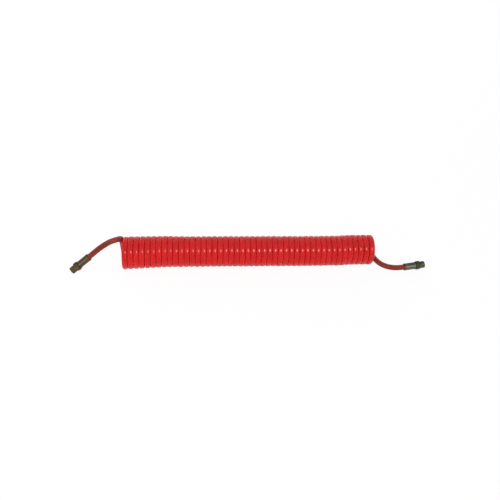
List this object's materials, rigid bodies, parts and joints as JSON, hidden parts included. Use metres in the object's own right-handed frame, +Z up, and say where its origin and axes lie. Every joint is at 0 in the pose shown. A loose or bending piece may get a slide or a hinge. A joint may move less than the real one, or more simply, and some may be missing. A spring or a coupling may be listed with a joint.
{
  "type": "coiled air hose",
  "caption": "Coiled recoil air hose wound into a long close spring, with a crimped swivel fitting and male pipe thread on each free end.",
  "frame": {"origin": "middle of the whole hose seen from above, on the surface that it lies on", "axes": "+X along the coil toward the outlet end, -Y toward the side that both fittings lie on, +Z up"},
  "size_m": [0.6629, 0.0652, 0.0615],
  "materials": {
    "hose": "glossy",
    "fitting": "satin, dark bronze plated",
    "stem": "satin",
    "seal": "matte",
    "steel": "bright"
  },
  "bodies": {
    "coil": {"hose_coil": "hose", "hose_tail_inlet": "hose", "ferrule_inlet": "fitting", "stem_inlet": "stem", "wire_ring_inlet": "steel", "oring_inlet": "seal", "washer_inlet": "steel"},
    "inlet_nipple": {"nipple_inlet": "fitting"},
    "outlet_end": {"hose_tail_outlet": "hose", "ferrule_outlet": "fitting", "stem_outlet": "stem", "wire_ring_outlet": "steel", "oring_outlet": "seal", "washer_outlet": "steel"},
    "outlet_nipple": {"nipple_outlet": "fitting"}
  },
  "joints": [
    {"name": "coil_stretch", "type": "slide", "parent": "coil", "child": "outlet_end", "axis": [1, 0, 0], "range_m": [0, 4.5], "stiffness_N_per_m": 5.5, "deforming": ["hose_coil"]},
    {"name": "inlet_swivel", "type": "hinge", "parent": "coil", "child": "inlet_nipple", "pos_m": [-0.31744, -0.01626, 0.01239], "axis": [-0.7763, -0.3295, -0.5373], "continuous": true},
    {"name": "outlet_swivel", "type": "hinge", "parent": "outlet_end", "child": "outlet_nipple", "pos_m": [0.3174, -0.02279, 0.00775], "axis": [0.9919, 0.1218, 0.0349], "continuous": true}
  ]
}
